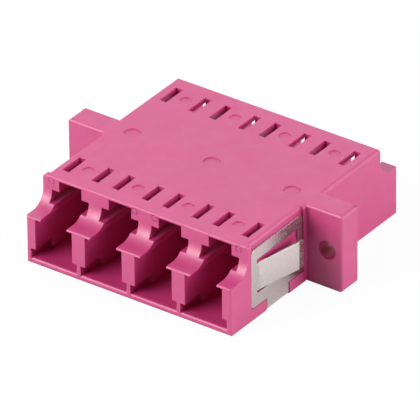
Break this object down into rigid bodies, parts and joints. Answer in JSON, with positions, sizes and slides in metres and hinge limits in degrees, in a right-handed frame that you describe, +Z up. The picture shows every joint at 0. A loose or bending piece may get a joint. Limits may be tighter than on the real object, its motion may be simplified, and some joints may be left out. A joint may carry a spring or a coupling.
{
  "type": "lc fibre adapter",
  "caption": "Flanged fibre adapter: a moulded magenta housing joins rows of small-form plugs end to end in ceramic slit sleeves, held in a panel by a sprung steel clip or screws.",
  "frame": {"origin": "middle of the footprint, on the underside that the adapter lies on; the flange's middle plane is Y = 0", "axes": "+X across the ports and along the flange, +Y along the fibres from the clip's half to the other, +Z up from the underside to the roof with the latch windows"},
  "size_m": [0.0344, 0.0294, 0.0091],
  "materials": {
    "housing_plastic": "satin moulded",
    "clip_steel": "rolled and stamped",
    "sleeve_zirconia": "ground",
    "holder_plastic": "satin moulded"
  },
  "bodies": {
    "root": {"housing": "housing_plastic", "panel_clip": "clip_steel", "split_sleeve_1": "sleeve_zirconia", "split_sleeve_2": "sleeve_zirconia", "split_sleeve_3": "sleeve_zirconia", "split_sleeve_4": "sleeve_zirconia", "sleeve_holder_front_1": "holder_plastic", "sleeve_holder_front_2": "holder_plastic", "sleeve_holder_front_3": "holder_plastic", "sleeve_holder_front_4": "holder_plastic", "sleeve_holder_rear_1": "holder_plastic", "sleeve_holder_rear_2": "holder_plastic", "sleeve_holder_rear_3": "holder_plastic", "sleeve_holder_rear_4": "holder_plastic"}
  },
  "joints": []
}
